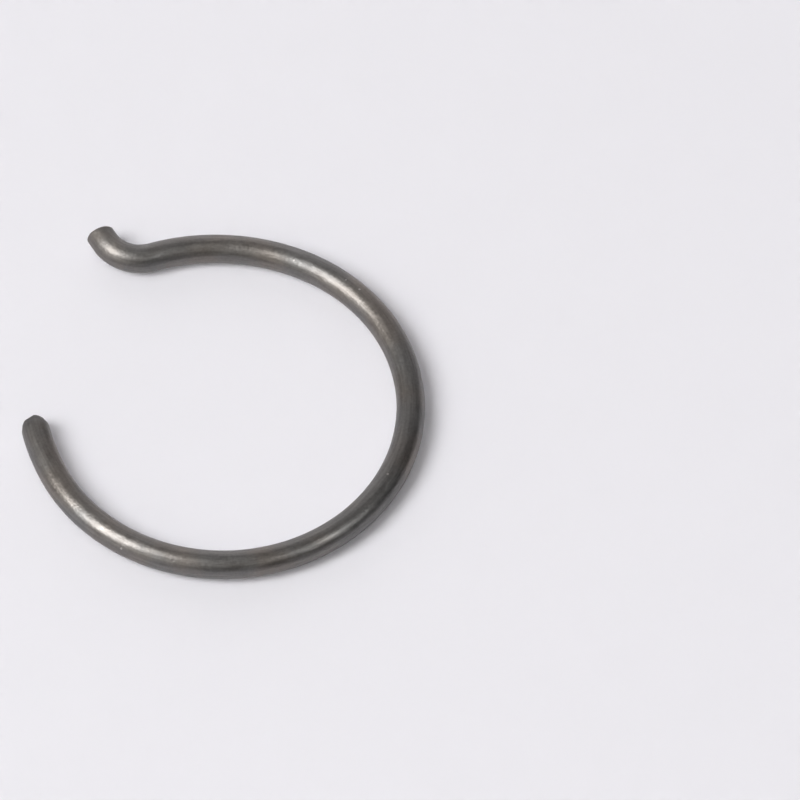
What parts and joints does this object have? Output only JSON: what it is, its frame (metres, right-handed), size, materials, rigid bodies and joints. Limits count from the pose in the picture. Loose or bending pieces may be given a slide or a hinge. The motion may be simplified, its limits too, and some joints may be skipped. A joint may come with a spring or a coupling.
{
  "type": "piston circlip",
  "caption": "Open ring of round spring-steel wire with a plain rounded end and a short outward tang, sprung into a pin bore's groove to keep the piston pin in place.",
  "frame": {"origin": "centre of the ring, in the plane of the wire's middle line", "axes": "+Z along the axis of the bore that the ring snaps into; +X away from the gap between the ends; +Y towards the side with the tang"},
  "size_m": [0.0224, 0.023, 0.0016],
  "materials": {
    "spring_steel": "dark satin, drawn wire with a thin tempering skin"
  },
  "bodies": {
    "root": {"circlip": "spring_steel"}
  },
  "joints": []
}
